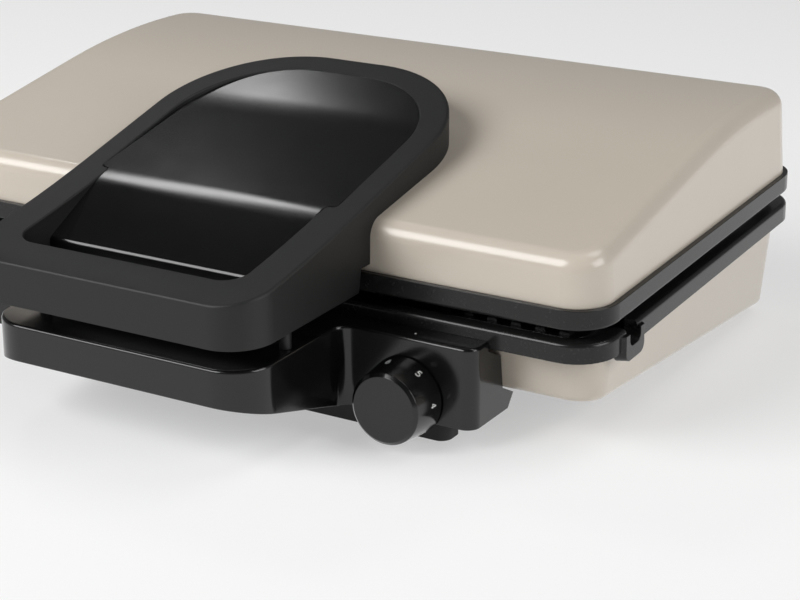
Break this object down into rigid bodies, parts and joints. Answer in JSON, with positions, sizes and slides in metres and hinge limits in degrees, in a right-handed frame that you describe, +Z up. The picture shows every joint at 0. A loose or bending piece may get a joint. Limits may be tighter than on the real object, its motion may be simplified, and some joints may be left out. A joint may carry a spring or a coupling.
{
  "type": "contact grill",
  "caption": "Countertop contact grill with a hinged floating lid, ribbed plates, a side grease spout, a ring handle and a control knob.",
  "frame": {"origin": "the middle of the footprint on the table plane: the bottom centre of the bounding box", "axes": "+Z up, +X to the right as seen from the front, the handle towards -Y"},
  "size_m": [0.422, 0.3774, 0.1449],
  "materials": {
    "painted_shell": "glossy warm beige",
    "black_moulding": "satin-gloss black",
    "dark_plastic": "matte black",
    "nonstick": "black non-stick coating on die-cast aluminium",
    "sheet_steel": "plain",
    "heater_steel": "dull",
    "fastener": "plain",
    "brass": "plain",
    "rubber": "matte black"
  },
  "bodies": {
    "base": {"base_tub": "painted_shell", "bottom_cover": "dark_plastic", "bottom_cover_screws": "fastener", "front_fascia": "black_moulding", "front_feet": "rubber", "rear_feet": "rubber", "rest_studs": "black_moulding", "lower_plate": "nonstick", "lower_heating_element": "heater_steel", "lower_reflector": "sheet_steel", "lower_element_clips": "sheet_steel", "thermostat": "dark_plastic", "thermostat_nut": "brass", "rear_hinge_housing": "dark_plastic", "cord_gland": "rubber"},
    "knob": {"control_knob": "black_moulding", "knob_shaft": "fastener"},
    "float": {"hinge_slide_left": "sheet_steel", "hinge_slide_right": "sheet_steel", "slide_tie_bar": "sheet_steel"},
    "lid": {"hinge_bracket_left": "sheet_steel", "hinge_bracket_right": "sheet_steel", "hinge_pins": "fastener", "lid_shell": "painted_shell", "lid_chassis": "sheet_steel", "lid_screws": "fastener", "upper_plate": "nonstick", "upper_heating_element": "heater_steel", "upper_reflector": "sheet_steel", "upper_element_clips": "sheet_steel", "handle_frame": "black_moulding", "handle_panel": "black_moulding", "handle_underside": "black_moulding", "handle_screws": "fastener"}
  },
  "joints": [
    {"name": "lid_float", "type": "slide", "parent": "base", "child": "float", "axis": [0, 0, 1], "range_m": [0, 0.012]},
    {"name": "lid_hinge", "type": "hinge", "parent": "float", "child": "lid", "pos_m": [0, 0.18175, 0.084], "axis": [-1, 0, 0], "range_deg": [0, 100]},
    {"name": "knob_turn", "type": "hinge", "parent": "base", "child": "knob", "pos_m": [0.1145, -0.10005, 0.0235], "axis": [0, -1, 0], "range_deg": [-92, 90]}
  ]
}
